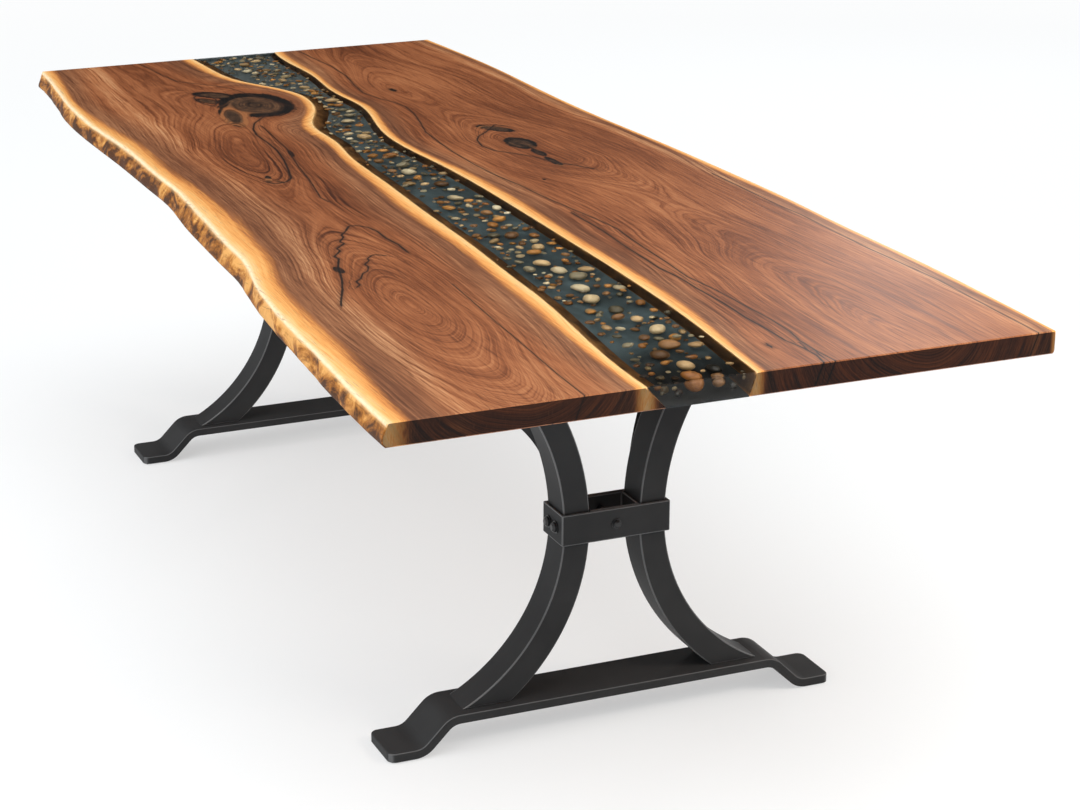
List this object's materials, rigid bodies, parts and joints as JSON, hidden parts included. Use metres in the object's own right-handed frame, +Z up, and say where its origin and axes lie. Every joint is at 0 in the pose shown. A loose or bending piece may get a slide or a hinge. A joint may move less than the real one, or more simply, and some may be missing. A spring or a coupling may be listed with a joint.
{
  "type": "live edge dining table",
  "caption": "Dining table of walnut slabs with a wavy live edge, joined by a dark clear resin river with pebbles, on black steel pedestals with curved legs.",
  "frame": {"origin": "on the floor under the middle of the table's outline", "axes": "+X along the length towards the end where the live edge is widest, +Y across towards the straighter long edge, +Z up"},
  "size_m": [2.56, 1.0907, 0.762],
  "materials": {
    "walnut": "satin oiled walnut with pale sapwood edges",
    "river_resin": "clear dark slate-blue cast resin, polished",
    "pebble_cream": "smooth river pebble",
    "pebble_tan": "smooth river pebble",
    "pebble_amber": "smooth river pebble",
    "pebble_grey": "smooth river pebble",
    "pebble_brown": "smooth river pebble",
    "black_steel": "matte charcoal powder coat",
    "black_fastener": "black oxide",
    "brass": "plain brass",
    "glide": "dense rubber sheet"
  },
  "bodies": {
    "root": {"far_brace_front": "black_steel", "far_brace_rear": "black_steel", "far_brace_screws": "black_fastener", "far_collar": "black_steel", "far_collar_washers": "black_fastener", "far_end_bolts": "black_fastener", "far_face_bolts": "black_fastener", "far_foot": "black_steel", "far_glides": "glide", "far_inserts": "brass", "far_leg_front": "black_steel", "far_leg_rear": "black_steel", "far_nuts": "black_fastener", "far_plate_bolts": "black_fastener", "far_plate_washers": "black_fastener", "far_spacer": "black_steel", "far_top_plate": "black_steel", "front_slab": "walnut", "near_brace_front": "black_steel", "near_brace_rear": "black_steel", "near_brace_screws": "black_fastener", "near_collar": "black_steel", "near_collar_washers": "black_fastener", "near_end_bolts": "black_fastener", "near_face_bolts": "black_fastener", "near_foot": "black_steel", "near_glides": "glide", "near_inserts": "brass", "near_leg_front": "black_steel", "near_leg_rear": "black_steel", "near_nuts": "black_fastener", "near_plate_bolts": "black_fastener", "near_plate_washers": "black_fastener", "near_spacer": "black_steel", "near_top_plate": "black_steel", "pebbles_amber": "pebble_amber", "pebbles_brown": "pebble_brown", "pebbles_cream": "pebble_cream", "pebbles_grey": "pebble_grey", "pebbles_tan": "pebble_tan", "rear_slab": "walnut", "resin_river": "river_resin"}
  },
  "joints": []
}
